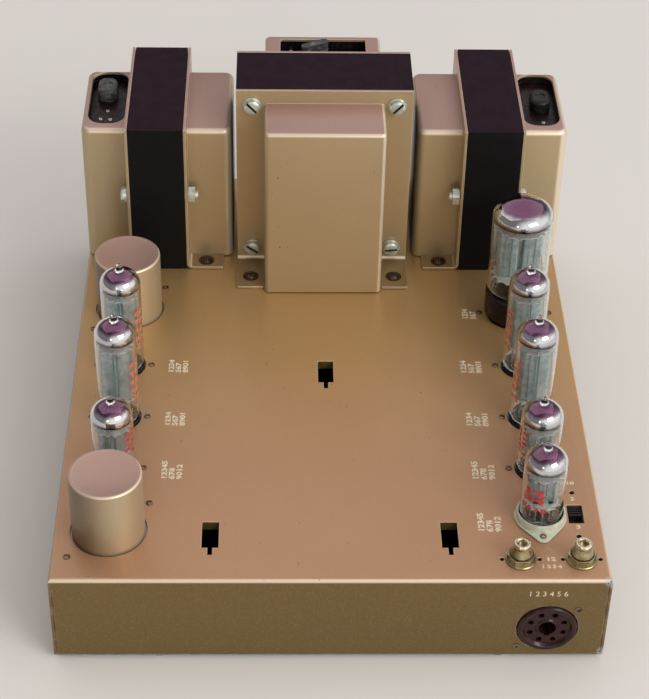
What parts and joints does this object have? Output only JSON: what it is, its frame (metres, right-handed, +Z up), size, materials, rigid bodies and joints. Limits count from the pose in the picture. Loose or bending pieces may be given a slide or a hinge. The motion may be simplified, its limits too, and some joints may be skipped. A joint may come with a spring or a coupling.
{
  "type": "valve power amplifier",
  "caption": "Stereo valve power amplifier: a low folded steel tray with plug-in valves and capacitor cans down the sides and covered transformers across the rear.",
  "frame": {"origin": "on the ground, under the middle of the amplifier's outline", "axes": "+Z up, -Y out of the front face with the outlet, +X to the right as seen from the front"},
  "size_m": [0.267, 0.3478, 0.166],
  "materials": {
    "gold_paint": "satin metallic, worn at the edges",
    "black_lacquer": "satin",
    "zinc": "dull plated",
    "brass": "dull plated",
    "brown_bakelite": "gloss",
    "black_bakelite": "gloss",
    "glass": "clear, silvered at the top",
    "electrode_steel": "satin",
    "winding": "varnished",
    "board": "matt"
  },
  "bodies": {
    "amplifier": {"chassis": "gold_paint", "bottom_cover": "zinc", "left_rear_pentode_socket": "black_bakelite", "left_front_pentode_socket": "black_bakelite", "left_triode_socket": "black_bakelite", "right_rear_pentode_socket": "black_bakelite", "right_front_pentode_socket": "black_bakelite", "right_triode_socket": "black_bakelite", "front_triode_socket": "black_bakelite", "rectifier_socket": "brown_bakelite", "rear_capacitor_can": "gold_paint", "front_capacitor_can": "gold_paint", "phono_socket_1": "brass", "phono_socket_2": "brass", "slide_switch_body": "zinc", "front_outlet_socket": "brown_bakelite", "mains_core": "black_lacquer", "mains_winding": "winding", "mains_front_cover": "gold_paint", "mains_rear_cover": "gold_paint", "mains_bolt_1": "zinc", "mains_bolt_2": "zinc", "mains_bolt_3": "zinc", "mains_bolt_4": "zinc", "voltage_selector_panel": "brown_bakelite", "left_output_core": "black_lacquer", "left_output_winding": "winding", "left_inner_cover": "gold_paint", "left_outer_cover": "gold_paint", "left_output_bolt": "zinc", "left_impedance_panel": "brown_bakelite", "right_output_core": "black_lacquer", "right_output_winding": "winding", "right_inner_cover": "gold_paint", "right_outer_cover": "gold_paint", "right_output_bolt": "zinc", "right_impedance_panel": "brown_bakelite", "speaker_terminal_strip": "board", "mains_inlet": "black_bakelite", "tag_board": "board"},
    "left_rear_pentode": {"left_rear_pentode_glass": "glass", "left_rear_pentode_electrodes": "electrode_steel"},
    "left_front_pentode": {"left_front_pentode_glass": "glass", "left_front_pentode_electrodes": "electrode_steel"},
    "left_triode": {"left_triode_glass": "glass", "left_triode_electrodes": "electrode_steel"},
    "right_rear_pentode": {"right_rear_pentode_glass": "glass", "right_rear_pentode_electrodes": "electrode_steel"},
    "right_front_pentode": {"right_front_pentode_glass": "glass", "right_front_pentode_electrodes": "electrode_steel"},
    "right_triode": {"right_triode_glass": "glass", "right_triode_electrodes": "electrode_steel"},
    "front_triode": {"front_triode_glass": "glass", "front_triode_electrodes": "electrode_steel"},
    "rectifier": {"rectifier_glass": "glass", "rectifier_base": "brown_bakelite"},
    "left_plug": {"left_impedance_plug": "black_bakelite"},
    "right_plug": {"right_impedance_plug": "black_bakelite"},
    "voltage_knob": {"voltage_selector_knob": "black_bakelite"},
    "switch_slider": {"slide_switch_slider": "black_bakelite"}
  },
  "joints": [
    {"name": "left_rear_pentode_lift", "type": "slide", "parent": "amplifier", "child": "left_rear_pentode", "axis": [0, 0, 1], "range_m": [0, 0.015]},
    {"name": "left_front_pentode_lift", "type": "slide", "parent": "amplifier", "child": "left_front_pentode", "axis": [0, 0, 1], "range_m": [0, 0.015]},
    {"name": "left_triode_lift", "type": "slide", "parent": "amplifier", "child": "left_triode", "axis": [0, 0, 1], "range_m": [0, 0.015]},
    {"name": "right_rear_pentode_lift", "type": "slide", "parent": "amplifier", "child": "right_rear_pentode", "axis": [0, 0, 1], "range_m": [0, 0.015]},
    {"name": "right_front_pentode_lift", "type": "slide", "parent": "amplifier", "child": "right_front_pentode", "axis": [0, 0, 1], "range_m": [0, 0.015]},
    {"name": "right_triode_lift", "type": "slide", "parent": "amplifier", "child": "right_triode", "axis": [0, 0, 1], "range_m": [0, 0.015]},
    {"name": "front_triode_lift", "type": "slide", "parent": "amplifier", "child": "front_triode", "axis": [0, 0, 1], "range_m": [0, 0.015]},
    {"name": "rectifier_lift", "type": "slide", "parent": "amplifier", "child": "rectifier", "axis": [0, 0, 1], "range_m": [0, 0.022]},
    {"name": "left_plug_lift", "type": "slide", "parent": "amplifier", "child": "left_plug", "axis": [0, 0, 1], "range_m": [0, 0.02]},
    {"name": "right_plug_lift", "type": "slide", "parent": "amplifier", "child": "right_plug", "axis": [0, 0, 1], "range_m": [0, 0.02]},
    {"name": "voltage_knob_turn", "type": "hinge", "parent": "amplifier", "child": "voltage_knob", "pos_m": [-0.005, 0.1451, 0.1509], "axis": [0, 0, 1], "range_deg": [-54, 0]},
    {"name": "switch_slide", "type": "slide", "parent": "amplifier", "child": "switch_slider", "axis": [0, -1, 0], "range_m": [0, 0.0058]}
  ]
}
